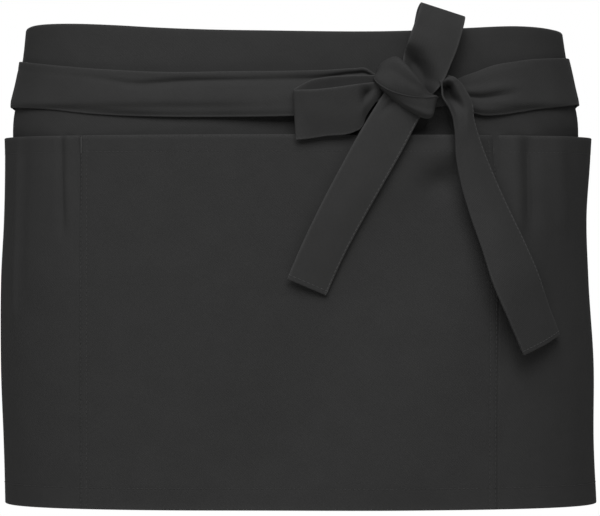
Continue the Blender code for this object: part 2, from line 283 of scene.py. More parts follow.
def clothMesh(name, points, uv, thickness, rim=3, wearAndHighlight=0.0):
    rows, cols = points.shape[:2]
    flat, normals, uv = points.reshape(-1, 3), facing(points).reshape(-1, 3), uv.reshape(-1, 2)
    # how much paler each point is drawn: rubbed wear and a painted highlight on the edges
    wearAndHighlight = np.broadcast_to(wearAndHighlight, (rows, cols)).reshape(-1)
    index = np.arange(rows * cols).reshape(rows, cols)
    ring = np.concatenate([index[0, :-1], index[:-1, -1], index[-1, :0:-1], index[:0:-1, 0]])
    inner = np.pad(index[1:-1, 1:-1], 1, mode="edge").reshape(-1)[ring]
    outward = flat[ring] - flat[inner]
    outward = unit(outward - (outward * normals[ring]).sum(-1, keepdims=True) * normals[ring])
    half = thickness / 2
    verts, uvs, wearAndHighlightValues, loops = [flat + normals * half], [uv], [wearAndHighlight], [ring]
    count = len(flat)
    for k in range(1, rim + 1):  # a rolled edge, from the front round to the back
        turn = math.pi * k / (rim + 1)
        roll = normals[ring] * math.cos(turn) + outward * math.sin(turn)
        verts.append(flat[ring] + half * roll)
        uvs.append(uv[ring])
        wearAndHighlightValues.append(wearAndHighlight[ring])
        loops.append(count + np.arange(len(ring)))
        count += len(ring)
    loops.append(count + ring)
    verts.append(flat - normals * half)
    uvs.append(uv)
    wearAndHighlightValues.append(wearAndHighlight)
    corners = [index[:-1, :-1], index[:-1, 1:], index[1:, 1:], index[1:, :-1]]
    quads = np.stack(corners, -1).reshape(-1, 4)
    faces = [quads, quads[:, ::-1] + count]
    for a, b in zip(loops[:-1], loops[1:]):
        faces.append(np.stack([a, b, np.roll(b, -1), np.roll(a, -1)], -1))
    verts, faces, uvs, wearAndHighlightValues = (np.concatenate(part) for part in (verts, faces, uvs, wearAndHighlightValues))
    return makeMesh(name, verts, faces.tolist(), uvs, wearAndHighlightValues)


def makeMesh(name, verts, faces, uvs, wearAndHighlightValues):
    mesh = bpy.data.meshes.new(name)
    mesh.from_pydata(verts.tolist(), [], faces)
    layer = mesh.uv_layers.new(name="cloth")
    corners = np.zeros(len(mesh.loops), np.int32)
    mesh.loops.foreach_get("vertex_index", corners)
    layer.data.foreach_set("uv", uvs[corners].astype(np.float32).reshape(-1))
    # paler edges, stored for the material: rubbed wear and a painted highlight
    wornAndHighlighted = mesh.attributes.new("wearAndHighlight", "FLOAT", "POINT")
    wornAndHighlighted.data.foreach_set("value", wearAndHighlightValues.astype(np.float32))
    mesh.shade_smooth()
    mesh.validate()
    return addObject(name, mesh)


def addObject(name, data):
    made = bpy.data.objects.new(name, data)
    bpy.context.scene.collection.objects.link(made)
    return made


# Materials

def linear(hexColour):
    values = [int(hexColour[i:i + 2], 16) / 255 for i in (1, 3, 5)]
    return [v / 12.92 if v <= 0.04045 else ((v + 0.055) / 1.055) ** 2.4 for v in values] + [1.0]


def addNode(tree, kind, settings={}, **links):  # a link from a node is from its first output
    node = tree.nodes.new(kind)
    for key, value in settings.items():
        if isinstance(key, str) and hasattr(node, key):
            setattr(node, key, value)
        else:
            node.inputs[key].default_value = value
    for key, source in links.items():
        numbered = key[0] == "i" and key[1:].isdigit()
        if isinstance(source, bpy.types.Node):
            source = source.outputs[0]
        tree.links.new(source, node.inputs[int(key[1:]) if numbered else key])
    return node


def newMaterial(name, roughness, specular):
    made = bpy.data.materials.new(name)
    made.use_nodes = True
    shader = made.node_tree.nodes["Principled BSDF"]
    shader.inputs["Roughness"].default_value = roughness
    shader.inputs["Specular IOR Level"].default_value = specular
    return made, made.node_tree, shader


# Cotton-polyester twill, woven, dyed dark and washed: matt, with fine slanting ribs, a faint
# cloudiness, and paler edges where it is folded and rubbed, which are also a painted highlight
# along the edges. The three cloths differ slightly.
twillLook = {
    # edge is the paler colour of rubbed edges, also painted on as a highlight along folded edges
    "panel": {"colour": "#292929", "light": "#303030", "edge": "#393939", "roughness": 0.92},
    "pocket": {"colour": "#282828", "light": "#2f2f2f", "edge": "#3a3a3a", "roughness": 0.92},
    "tape": {"colour": "#2a2a2a", "light": "#313131", "edge": "#3f3f3f", "roughness": 0.90},
    "threadSpacing": 0.9 * mm,  # true spacing is about 0.4 mm; drawn coarser so that it shows
    "ribSlant": 63,  # degrees
    "ribScale": 0.3183,  # the wave then has one rib for each thread spacing
    "ribHeight": 0.10 * mm,
    "cloudScale": 60.0,  # patches of about 15 mm
    "lintScale": 900.0,  # specks of about 1 mm
    "sheen": 0.01,
    "sheenRoughness": 0.6,
    "specular": 0.04,
}


def wovenTwill(name, look):
    made, tree, shader = newMaterial(name, look["roughness"], twillLook["specular"])
    shader.inputs["Sheen Weight"].default_value = twillLook["sheen"]
    shader.inputs["Sheen Roughness"].default_value = twillLook["sheenRoughness"]
    spacing = twillLook["threadSpacing"]
    place = addNode(tree, "ShaderNodeUVMap", {"uv_map": "cloth"})
    turned = addNode(tree, "ShaderNodeMapping", {
        "Rotation": (0.0, 0.0, math.radians(twillLook["ribSlant"])),
        "Scale": (1 / spacing, 1 / spacing, 1.0),
    }, Vector=place)
    ribs = addNode(tree, "ShaderNodeTexWave", {
        "wave_type": "BANDS", "bands_direction": "X", "Scale": twillLook["ribScale"],
        "Distortion": 0.5, "Detail": 1.0, "Detail Scale": 2.0,
    }, Vector=turned)
    weft = addNode(tree, "ShaderNodeMapping", {
        "Scale": (1 / (0.6 * spacing), 1 / (3.0 * spacing), 1.0),
    }, Vector=place)
    slub = addNode(tree, "ShaderNodeTexNoise", {
        "Scale": 1.0, "Detail": 2.0, "Roughness": 0.6,
    }, Vector=weft)
    broad = addNode(tree, "ShaderNodeTexNoise", {
        "Scale": twillLook["cloudScale"], "Detail": 4.0, "Roughness": 0.55,
    }, Vector=place)
    lint = addNode(tree, "ShaderNodeTexNoise", {
        "Scale": twillLook["lintScale"], "Detail": 1.0,
    }, Vector=place)

    # Two close greys are mixed by the clouds and the threads' own unevenness
    cloud = addNode(tree, "ShaderNodeMapRange", {
        "From Min": 0.35, "From Max": 0.65, "To Min": 0.36, "To Max": 0.56,
    }, Value=broad)
    grain = addNode(tree, "ShaderNodeMapRange", {
        "From Min": 0.3, "From Max": 0.7, "To Min": -0.18, "To Max": 0.18,
    }, Value=slub)
    grey = addNode(tree, "ShaderNodeMath", {
        "operation": "ADD", "use_clamp": True,
    }, i0=cloud, i1=grain)
    colour = addNode(tree, "ShaderNodeMix", {"data_type": "RGBA"}, i0=grey)
    colour.inputs[6].default_value = linear(look["colour"])
    colour.inputs[7].default_value = linear(look["light"])

    # Worn edges are paler, broken up by the lint: partly rubbed wear, partly a painted highlight
    wornAndHighlighted = addNode(tree, "ShaderNodeAttribute", {"attribute_name": "wearAndHighlight"})
    lintShare = addNode(tree, "ShaderNodeMapRange", {
        "From Min": 0.3, "From Max": 0.6, "To Min": 0.35, "To Max": 1.0,
    }, Value=lint)
    wearAndHighlightShare = addNode(tree, "ShaderNodeMath", {
        "operation": "MULTIPLY",
    }, i0=wornAndHighlighted.outputs["Fac"], i1=lintShare)
    wornAndHighlitEdges = addNode(tree, "ShaderNodeMix", {
        "data_type": "RGBA",
    }, i0=wearAndHighlightShare, i6=colour.outputs[2])
    wornAndHighlitEdges.inputs[7].default_value = linear(look["edge"])
    tree.links.new(wornAndHighlitEdges.outputs[2], shader.inputs["Base Color"])

    height = addNode(tree, "ShaderNodeMath", {
        "operation": "MULTIPLY_ADD", 1: 0.35,
    }, i0=slub, i2=ribs.outputs["Fac"])
    raised = addNode(tree, "ShaderNodeBump", {
        "Strength": 0.55, "Distance": twillLook["ribHeight"],
    }, Height=height)
    tree.links.new(raised.outputs["Normal"], shader.inputs["Normal"])
    return made


panelTwill = wovenTwill("charcoalTwillPanel", twillLook["panel"])
pocketTwill = wovenTwill("charcoalTwillPocket", twillLook["pocket"])
tapeTwill = wovenTwill("charcoalTwillTape", twillLook["tape"])

# Spun polyester thread: a little smoother than the cloth, so that single stitches catch the light
threadLook = {
    "seam": ("#2c2c2c", "#353535"),
    "tack": ("#363636", "#454545"),
    "roughness": 0.8,
    "specular": 0.2,
    "fibreScale": 2500.0,  # about 0.4 mm
}


def spunThread(name, dark, light):
    made, tree, shader = newMaterial(name, threadLook["roughness"], threadLook["specular"])
    place = addNode(tree, "ShaderNodeTexCoord")
    fibre = addNode(tree, "ShaderNodeTexNoise", {
        "Scale": threadLook["fibreScale"], "Detail": 1.0,
    }, Vector=place.outputs["Object"])
    tone = addNode(tree, "ShaderNodeMix", {"data_type": "RGBA"}, i0=fibre)
    tone.inputs[6].default_value = linear(dark)
    tone.inputs[7].default_value = linear(light)
    tree.links.new(tone.outputs[2], shader.inputs["Base Color"])
    return made


thread = spunThread("spunPolyesterThread", *threadLook["seam"])
tackThread = spunThread("glossyTackThread", *threadLook["tack"])
print("materials made")


def finish(piece, material, node):
    piece.data.materials.append(material)
    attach(piece, "root")
    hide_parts(node)


# Stitches: Geometry Nodes put a short bead of thread at even steps along a seam line

stitchSize = {"pitch": 2.9 * mm, "length": 2.2 * mm, "thread": 0.50 * mm}
threadProud = {"panel": 0.05 * mm, "tape": 0.06 * mm, "tack": 0.15 * mm}  # above the cloth


def stitchTree():
    tree = bpy.data.node_groups.new("stitchAlongSeam", "GeometryNodeTree")
    kinds = {"Pitch": "Float", "Length": "Float", "Thread": "Float", "Material": "Material"}
    for name, kind in {"Geometry": "Geometry", **kinds}.items():
        tree.interface.new_socket(name, in_out="INPUT", socket_type="NodeSocket" + kind)
    tree.interface.new_socket("Geometry", in_out="OUTPUT", socket_type="NodeSocketGeometry")
    given = tree.nodes.new("NodeGroupInput").outputs
    steps = addNode(tree, "GeometryNodeResampleCurve", {
        "mode": "LENGTH",
    }, Curve=given["Geometry"], Length=given["Pitch"])
    tangent = addNode(tree, "GeometryNodeInputTangent")
    turn = addNode(tree, "FunctionNodeAlignRotationToVector", {"axis": "Z"}, Vector=tangent)
    bead = addNode(tree, "GeometryNodeMeshUVSphere", {"Segments": 6, "Rings": 5, "Radius": 0.5})
    wide, long = given["Thread"], given["Length"]
    size = addNode(tree, "ShaderNodeCombineXYZ", X=wide, Y=wide, Z=long)
    shaped = addNode(tree, "GeometryNodeTransform", Geometry=bead, Scale=size)
    placed = addNode(
        tree, "GeometryNodeInstanceOnPoints", Points=steps, Instance=shaped, Rotation=turn)
    real = addNode(tree, "GeometryNodeRealizeInstances", Geometry=placed)
    soft = addNode(tree, "GeometryNodeSetShadeSmooth", Geometry=real)
    coloured = addNode(tree, "GeometryNodeSetMaterial", Geometry=soft, Material=given["Material"])
    addNode(tree, "NodeGroupOutput", Geometry=coloured)
    return tree


stitchNodes = stitchTree()


def sewLines(
        name, lines,
        length=stitchSize["length"], pitch=stitchSize["pitch"], yarn=thread):
    curve = bpy.data.curves.new(name + "Line", "CURVE")
    curve.dimensions = "3D"
    for line in lines:
        spline = curve.splines.new("POLY")
        spline.points.add(len(line) - 1)
        weighted = np.concatenate([line, np.ones((len(line), 1))], 1)
        spline.points.foreach_set("co", weighted.reshape(-1))
    guide = addObject(name + "Line", curve)
    sewing = guide.modifiers.new("stitches", "NODES")
    sewing.node_group = stitchNodes
    values = {"Pitch": pitch, "Length": length, "Thread": stitchSize["thread"], "Material": yarn}
    for item in stitchNodes.interface.items_tree:
        if item.in_out == "INPUT" and item.name in values:
            sewing[item.identifier] = values[item.name]
    evaluated = guide.evaluated_get(bpy.context.evaluated_depsgraph_get())
    mesh = bpy.data.meshes.new_from_object(evaluated)
    mesh.name = name
    bpy.data.objects.remove(guide, do_unlink=True)
    piece = addObject(name, mesh)
    if not mesh.materials:
        mesh.materials.append(yarn)
    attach(piece, "root")


def stitchOn(points, rowShare=None, colShare=None, trim=0.0):
    normal = facing(points)
    normal *= np.sign((normal[..., :2] * points[..., :2]).sum(-1))[..., None]
    grid = points + (tapeCloth / 2 + threadProud["tape"]) * normal
    if rowShare is None:
        grid, share = grid.swapaxes(0, 1), colShare
    else:
        share = rowShare
    at = share * (len(grid) - 1)
    low = min(int(at), len(grid) - 2)
    line = grid[low] * (low + 1 - at) + grid[low + 1] * (at - low)
    keep = max(int(len(line) * trim), 1)
    return line[keep:-keep]


# Apron panel

panelLook = {"colStep": 3.2 * mm, "rowStep": 4.0 * mm, "hem": 13 * mm, "hemStep": 0.35 * mm}


def panelPoints():
    sides = [(s * (halfApron - 8 * mm), 8 * mm, 0.9 * mm) for s in (-1, 1)]
    cols = finerLines(-halfApron, halfApron, panelLook["colStep"], sides)
    rows = finerLines(hemZ, foldBase, panelLook["rowStep"], [(hemZ + 8 * mm, 8 * mm, 1.0 * mm)])
    along, z = np.meshgrid(cols + waistForm["shift"], rows)
    z = rowZ(along, z)
    hemLine = hemZ + panelLook["hem"]
    inward = panelLook["hemStep"] * (1 - ease(z, hemLine - 1 * mm, hemLine + 0.6 * mm))
    return onForm(along, z, panelMiddle - inward), np.stack([along, z], -1)


points, uv = panelPoints()
apronPanel = clothMesh("apronPanel", points, uv, wall["panel"])
finish(apronPanel, panelTwill, "apron_panel")
print("apron panel")


# Waistband: outer leaf, round fold, inner leaf

bandLook = {
    "colStep": 3.2 * mm,
    "leafRows": 12,
    "foldSteps": 10,
    "footLine": 2 * mm,  # stitched this far above the foot
    "wave": 0.25 * mm,
    "waveLength": 31 * mm,  # for one radian
}


def bandPoints():
    radius = wall["panel"] / 2 + wall["bandGap"] + wall["band"] / 2
    leaf = np.linspace(bandFootZ, foldBase, bandLook["leafRows"])
    turns = np.linspace(0, math.pi, bandLook["foldSteps"] + 1)[1:-1]
    out = np.concatenate([
        np.full(len(leaf), panelMiddle + radius),
        panelMiddle + radius * np.cos(turns),
        np.full(len(leaf), panelMiddle - radius),
    ])
    height = np.concatenate([leaf, foldBase + radius * np.sin(turns), leaf[::-1]])
    share = np.linspace(0, 1, int(cut["width"] / bandLook["colStep"]))
    cols = waistForm["shift"] + cut["width"] * (share - 0.5)
    along, z = np.meshgrid(cols, height)
    outs, runs = (np.meshgrid(cols, rows)[1] for rows in (out, runAlong(out, height)))
    wave = bandLook["wave"] * np.sin(along / bandLook["waveLength"]) * ease(z, bandFootZ, foldBase)
    return onForm(along, rowZ(along, z), outs + wave), np.stack([along, runs], -1)


points, uv = bandPoints()
foldedBand = clothMesh("foldedBand", points, uv, wall["band"])
finish(foldedBand, panelTwill, "waistband")
print("waistband")


# Pocket panel

pocketLook = {
    "colStep": 3.0 * mm,
    "rowStep": 3.6 * mm,
    "mouthHem": 10 * mm,
    "footHem": 13 * mm,
    "needleGap": 3.9 * mm,
    "mouthStep": 0.10 * mm,
    "footStep": 0.04 * mm,
    "lineGroove": 0.06 * mm,
    "needleGroove": 0.18 * mm,
    "crease": 0.40 * mm,
    "sunk": 0.35 * mm,
    "pucker": 0.25 * mm,
    "uneven": 0.22 * mm,
    "foldsAt": 162 * mm,  # closer lines here, for the narrow folds
}
pocketDents = [  # as formDents, in this layer alone
    (93, -41, 11, 13, 6), (74, -44, 8, 12, 0.8), (90, -55, 8, 10, -0.9), (106, -52, 6, 18, 0.7),
]
seamAt = {"left": waistForm["shift"] - seam, "right": waistForm["shift"] + seam}
needles = [
    seamAt["left"], seamAt["left"] + pocketLook["needleGap"],
    seamAt["right"] - pocketLook["needleGap"], seamAt["right"],
]
mouthLine = mouthZ - pocketLook["mouthHem"]
footLine = hemZ + pocketLook["footHem"]


def pocketOut(along, z):
    place = along - waistForm["shift"]
    side = np.clip((np.abs(place) - seam) / (halfApron - seam), 0.0, 1.0)
    share = np.where(np.abs(place) < seam, (place + seam) / (2 * seam), side)
    sideGape = np.where(place < 0, mouths["left"], mouths["right"])
    gape = np.where(np.abs(place) < seam, mouths["centre"], sideGape)
    swell = np.sin(math.pi * np.clip(share, 0.0, 1.0)) ** 1.5
    down = np.clip((mouthZ - z) / cut["pocket"], 0.0, 1.0)
    fall = np.maximum(1 - 1.1 * down, 0.0) ** 1.5
    return panelOuter + wall["sewnGap"] + cut["gape"] * gape * swell * fall


def pocketDetail(along, z):
    # The hems are thicker, and their stitch lines draw in a little unevenly
    look = pocketLook
    detail = look["mouthStep"] * ease(z, mouthLine - 0.5 * mm, mouthLine + 0.8 * mm)
    detail += look["footStep"] * (1 - ease(z, footLine - 0.8 * mm, footLine + 0.5 * mm))
    uneven = 0.75 + 0.25 * np.sin(along / 1.7e-3 + np.sin(along / 0.009))
    for line in (mouthLine, footLine):
        detail -= look["lineGroove"] * bump(z, line, 0.9 * mm) * uneven
    # So do the needle lines, and beside the outer ones lie a sharp crease and soft puckers
    tack = 0.7 + 0.3 * np.sin(z / 1.6e-3 + 2 * np.sin(z / 0.012))
    for line in needles:
        detail -= look["needleGroove"] * bump(along, line, 0.8 * mm) * tack
    pucker = np.sin(z / 6.5e-3 + np.sin(z / 0.021))
    for line, turn in ((needles[0], -1), (needles[3], 1)):
        aside = turn * (along - line)
        sunk = ease(aside, 0.6 * mm, 1.8 * mm) * (1 - ease(aside, 1.8 * mm, 14 * mm))
        detail -= look["crease"] * bump(aside, 1.1 * mm, 0.7 * mm) + look["sunk"] * sunk
        detail += look["pucker"] * bump(aside, 6 * mm, 4 * mm) * pucker
    detail += foldRise(pocketFoldRows, along, z)
    detail += dentRise(pocketDents, along, z)
    # The whole layer is a little uneven
    broad = np.sin(along / 0.023 + 1.5 * np.sin(z / 0.05)) * np.sin(z / 0.037 + along / 0.06)
    return detail + look["uneven"] * broad


def pocketSurface(along, z, lift=0.0):
    along, z = np.broadcast_arrays(along, z)
    out = pocketOut(along, z) + wall["pocket"] / 2 + pocketDetail(along, z) + lift
    return onForm(along, z, out)


fineCols = [  # at the needle lines, the side hems and the folds under the mouths
    ((needles[i] + needles[i + 1]) / 2 - waistForm["shift"], 5 * mm, 0.65 * mm) for i in (0, 2)
]
fineCols += [(s * (halfApron - 5 * mm), 5 * mm, 1.0 * mm) for s in (-1, 1)]
fineCols += [(s * pocketLook["foldsAt"], 27 * mm, 1.3 * mm) for s in (-1, 1)]
fineRows = [
    (mouthLine, 2.6 * mm, 0.6 * mm),
    (mouthZ - 1 * mm, 1.5 * mm, 0.6 * mm),
    (footLine, 2.6 * mm, 0.6 * mm),
]
cols = finerLines(-halfApron, halfApron, pocketLook["colStep"], fineCols) + waistForm["shift"]
along, z = np.meshgrid(cols, finerLines(hemZ, mouthZ, pocketLook["rowStep"], fineRows))
points, uv = pocketSurface(along, z), np.stack([along, z], -1)
# Paler mouth and hem edges: rubbed wear and a painted highlight along the rolled edges
pocketWearAndHighlight = 0.5 * bump(z, mouthZ, 1.5 * mm) + 0.35 * bump(z, hemZ, 2 * mm)
pocketPanel = clothMesh("pocketPanel", points, uv, wall["pocket"], wearAndHighlight=pocketWearAndHighlight)
finish(pocketPanel, pocketTwill, "pocket_panel")
print("pocket panel:", along.shape)

# Seam lines are sampled closely enough to follow the surface
lineSamples = {"round": 700, "down": 240, "side": 40}
threadLift = threadProud["panel"] + wall["pocket"] / 2


def lineRound(inset):
    ends = halfApron - inset
    return np.linspace(-ends, ends, lineSamples["round"]) + waistForm["shift"]


lineDown = np.linspace(hemZ + 2 * mm, mouthZ - 1 * mm, lineSamples["down"])
sideLines = np.array([-1, 1]) * (halfApron - 4 * mm) + waistForm["shift"]
pocketLines = [
    pocketSurface(lineRound(3 * mm), mouthLine, threadLift - 0.12 * mm),
    pocketSurface(lineRound(3 * mm), footLine, threadLift),
]
pocketLines += [pocketSurface(at, lineDown, threadLift) for at in [*needles, *sideLines]]
sewLines("pocketStitches", pocketLines)

# Bar-tacks: close zigzag rows of thread that hold the pockets' mouth corners
tackLook = {"length": 10 * mm, "width": 1.5 * mm, "threads": 26, "pitch": 0.3 * mm}


def tackLines(along, z):
    ends = along + np.array([-0.15, 0.15]) * mm
    heights = z - tackLook["length"] * np.linspace(0, 1, tackLook["threads"])
    lift = threadProud["tack"] + wall["pocket"] / 2
    return [pocketSurface(ends, height, lift) for height in heights]


tacks = tackLines(seamAt["left"] - 0.2 * mm, mouthZ - 0.8 * mm)
tacks += tackLines(seamAt["right"] + 0.2 * mm, mouthZ - 0.8 * mm)
sewLines("barTacks", tacks, tackLook["width"], tackLook["pitch"], tackThread)
print("pocket stitches and bar-tacks")


# The band's foot, and the side hems above the pockets
footRound = lineRound(1.5 * mm)
sideDown = np.linspace(mouthZ + 3 * mm, bandFootZ - 1 * mm, lineSamples["side"])
footZ = rowZ(footRound, bandFootZ + bandLook["footLine"])
bandLines = [onForm(footRound, footZ, bandOuter + threadProud["panel"])]
bandLines += [onForm(at, sideDown, panelOuter + threadProud["panel"]) for at in sideLines]
sewLines("bandStitches", bandLines)
print("band and side seams")


# Tapes round the waist

tapeLook = {
    "colStep": 2.2 * mm,
    "across": 26,
    "knotAlong": 0.0665,  # both tapes end here, under the knot
    "boxLines": (0.20, 0.80),  # where the sewn ends are stitched, as shares of the width
    "tuck": 1.9 * mm,  # the lower edge comes in below the band's foot
    "uneven": 0.25 * mm,
}
leftTapeRows = table(
    "way height width",  # from the far rear corner to the knot, shares of the tape's width
    (0, 0, 1),
    (0.17, 0.07, 1),
    (0.34, 0.07, 1),
    (0.54, -0.17, 1),
    (0.65, -0.235, 0.98),
    (0.85, -0.2, 0.97),
    (1, -0.17, 0.9),
)
rightTapeRows = table(
    "way height width",
    (0, 0, 1),
    (0.27, 0.19, 1),
    (0.55, 0.15, 1.04),
    (0.7, 0, 1.04),
    (0.84, -0.17, 0.92),
    (1, -0.19, 0.7),
)
leftTapeEdges = table(
    "along top foot",  # millimetres, where the tape is in front
    (-240, 18, -11.4), (-196, 16, -12.4), (-161, 12.8, -14.2), (-126, 9.6, -17.9),
    (-78, 7, -20.1), (-42, 7.3, -20.3), (-2, 7.6, -19.8), (20, 8.2, -19), (36, 9.2, -17),
    (43, 9.3, -15), (48, 6, -12.5), (56, 4, -10), (70, 1, -8),
)
rightTapeEdges = table(
    "along top foot",
    (64, -4, -12), (84, -3, -14), (92, -2, -13), (97.5, 1.3, -12.5),
    (103.6, 4.4, -15.6), (112.3, 7.5, -18.6), (125, 11.9, -18.5), (139, 14.3, -16.6),
    (154, 16.3, -14.4), (172, 17.5, -12.5), (196, 18.6, -10.6), (240, 19.4, -10),
)


# How the tapes stand away from the band in front, by place along and share of the width from
# the lower edge: a long valley and a raised upper edge at the left, a drawn-in pleat at the right
leftFolds = {"swell": 0.5, "nearSwell": 2.3, "midSwell": 1.8, "lean": 0.9 * mm, "gather": 0.9 * mm}
rightFolds = {"swell": 0.3, "nearSwell": 3.0, "over": 1.4 * mm, "bunch": 3.2 * mm}  # swells in mm


def leftTapeFolds(along, up):
    near = ease(along, -0.160, -0.090) * (1 - ease(along, 0.050, 0.075))
    deep = 0.35 + 0.52 * bump(along, -0.076, 0.034) + 0.12 * ease(along, 0.00, 0.03)
    line = 0.82 + 0.07 * ease(along, 0.005, 0.035) - 0.10 * bump(along, -0.100, 0.020)
    wide = 0.045 + 0.035 * bump(along, -0.078, 0.034) + 0.035 * bump(along, -0.005, 0.022)
    valley = deep * bump(up, line, wide)
    standOff = 0.44 * ease(along, -0.120, -0.060) + 0.34 * ease(along, -0.060, 0.000)
    swell = leftFolds["swell"] + leftFolds["nearSwell"] * near
    swell = (swell + leftFolds["midSwell"] * ease(along, -0.070, 0.000)) * mm
    swell = swell * (ease(up, 0.0, 0.16) * (1 - standOff) + standOff) * (1 - valley)
    lean = leftFolds["lean"] * bump(up, 0.45, 0.22) * near
    gather = leftFolds["gather"] * np.sin(up * 17 + along / 0.011) * ease(along, 0.030, 0.06)
    return swell + lean + gather


def rightTapeFolds(along, up):
    near = 1 - ease(along, 0.125, 0.165)
    line = 0.42 - 1.6 * (along - 0.108)
    pleat = 0.85 * bump(up, line, 0.065) * (1 - ease(along, 0.120, 0.144))
    swell = (rightFolds["swell"] + rightFolds["nearSwell"] * near) * mm
    swell = swell * (ease(up, 0.0, 0.14) * (1 - 0.20 * near) + 0.20 * near)
    swell = swell * (1 - 0.35 * ease(up, 0.86, 1.0)) * (1 - pleat)
    over = rightFolds["over"] * bump(up, line + 0.15, 0.08) * (1 - ease(along, 0.118, 0.150))
    drawn = 1 - ease(along, 0.095, 0.112)
    bunch = rightFolds["bunch"] * (1 - ease(along, 0.088, 0.098)) * bump(up, 1.0, 0.50)
    return (swell + over) * (1 - 0.9 * drawn) + bunch


# side is 1 for the left tie, which starts at the right rear corner and passes outside, and -1 for
# the right one. Shares are of the whole way round, from the middle of the front and back to it.

def makeTape(name, node, rowsOf, edges, side, outside, folds):
    waist = float(girthAt(0.0))
    lap = cut["tapeLap"] / waist
    slack = 0.4 * lap
    nearEdge = (halfApron + side * waistForm["shift"]) / waist
    farEdge = 1 - (halfApron - side * waistForm["shift"]) / waist
    start, farCorner = nearEdge - lap, farEdge + 1.2 * lap
    knot = 1 + (side * tapeLook["knotAlong"] - wall["wornGap"]) / waist
    share = np.linspace(start, knot, int((knot - start) * waist / tapeLook["colStep"]))
    up = (1 - np.cos(np.linspace(0, math.pi, tapeLook["across"]))) / 2
    shares, ups = np.meshgrid(share[::side], up)

    # Height: from the band's corner down to the other tape's level behind, then as seen in front
    corner = np.array(waistForm["shift"] + halfApron)
    high = float(topEdge(corner)) - cut["tape"] / 2 - wall["wornGap"]
    low = high - cut["tape"] - 2 * wall["wornGap"]
    behind = high + (low - high) * ease(shares, nearEdge + slack, farEdge - slack)
    way = np.maximum((shares - farCorner) / (knot - farCorner), 0.0)
    settled = ease(way, 0.0, 0.3)
    width = cut["tape"] * smooth(rowsOf["way"], rowsOf["width"], way)
    height = cut["tape"] * smooth(rowsOf["way"], rowsOf["height"], way)
    zs = behind * (1 - settled) + height * settled + width * (ups - 0.5)
    infront = side * (shares - 1) * waist
    top = smooth(edges["along"] * mm, edges["top"] * mm, infront)
    foot = smooth(edges["along"] * mm, edges["foot"] * mm, infront)
    inView = 1 - ease(np.abs(infront), 0.232, 0.300)
    zs = zs * (1 - inView) + (foot + (top - foot) * ups) * inView

    # Distance out: over the other tape behind, over the band's foot, and the folds in front
    crossing = ease(shares, nearEdge - slack, nearEdge + slack)
    crossing = crossing * (1 - ease(shares, farEdge, farEdge + lap))
    turned = side * shares
    along = (turned - (turned > 0.5) + (turned < -0.5)) * waist
    out = tapeSeat + wall["tape"] / 2 + outside * crossing
    snug = 1 - ease(along, -0.070, 0.000) if side > 0 else ease(along, 0.108, 0.135)
    out = out - tapeLook["tuck"] * ease(-zs, 0.0105, 0.0150) * snug
    out = out + folds(along, ups) * ease(way, 0.0, 0.15)
    out = out + tapeLook["uneven"] * np.sin(along / 0.019 + 4 * ups)

    uv = np.stack([shares * waist, ups * cut["tape"]], -1)
    # Paler upper and lower edges: rubbed wear and a painted highlight along the folded edges
    wornAndHighlighted = 0.35 * bump(1 - ups, 0, 0.03) + 0.15 * bump(ups, 0, 0.03)
    points = onForm(turned * girthAt(zs), zs, out)
    piece = clothMesh(name, points, uv, tapeCloth, wearAndHighlight=wornAndHighlighted)
    finish(piece, tapeTwill, node)

    # The sewn end is stitched in a box
    sewn = shares[0] * waist - start * waist
    box = points[:, (sewn >= 2 * mm) & (sewn <= cut["tapeLap"] - 3 * mm)]
    lines = [stitchOn(box, rowShare=share) for share in tapeLook["boxLines"]]
    return lines + [stitchOn(box[5:-5], colShare=share) for share in (0.0, 1.0)]


overTape = wall["tape"] + wall["wornGap"]  # the left tie passes over the right one behind
leftEnd = makeTape("tieLeft", "tie_left", leftTapeRows, leftTapeEdges, 1, overTape, leftTapeFolds)
rightEnd = makeTape("tieRight", "tie_right", rightTapeRows, rightTapeEdges, -1, 0, rightTapeFolds)
sewLines("tieEndStitches", leftEnd + rightEnd)
print("ties round the waist")


# Bow: each strip is a loft between its two edges, whose rows are in millimetres from the origin,
# along the waist, up, and out from the waist form. "turned" is the share folded back behind.

bowLook = {
    "loopLength": {"upper": 0.128, "left": 0.125},
    "tailLength": {"left": 0.140, "right": 0.200},
    "backLeast": 7.9,  # millimetres out, clear of the ties and the pockets
    "rearLeast": 6.4,  # a loop's rear half may lie closer
    "frontMore": 1.9,  # and its front half has to lie further out
    "foldGap": 1.6 * mm,
    # paler left and right edges of loops and tails: rubbed wear and a painted highlight
    "edgeWearAndHighlight": (0.50, 0.45),  # on the left and the right edge
}


def byWay(rowsOf, way):
    return {name: smooth(rowsOf["way"], rowsOf[name], way) for name in rowsOf.dtype.names}


def lineOf(value, name):
    return np.stack([value[name + "Along"], value[name + "Up"], value[name + "Out"]], -1) * mm


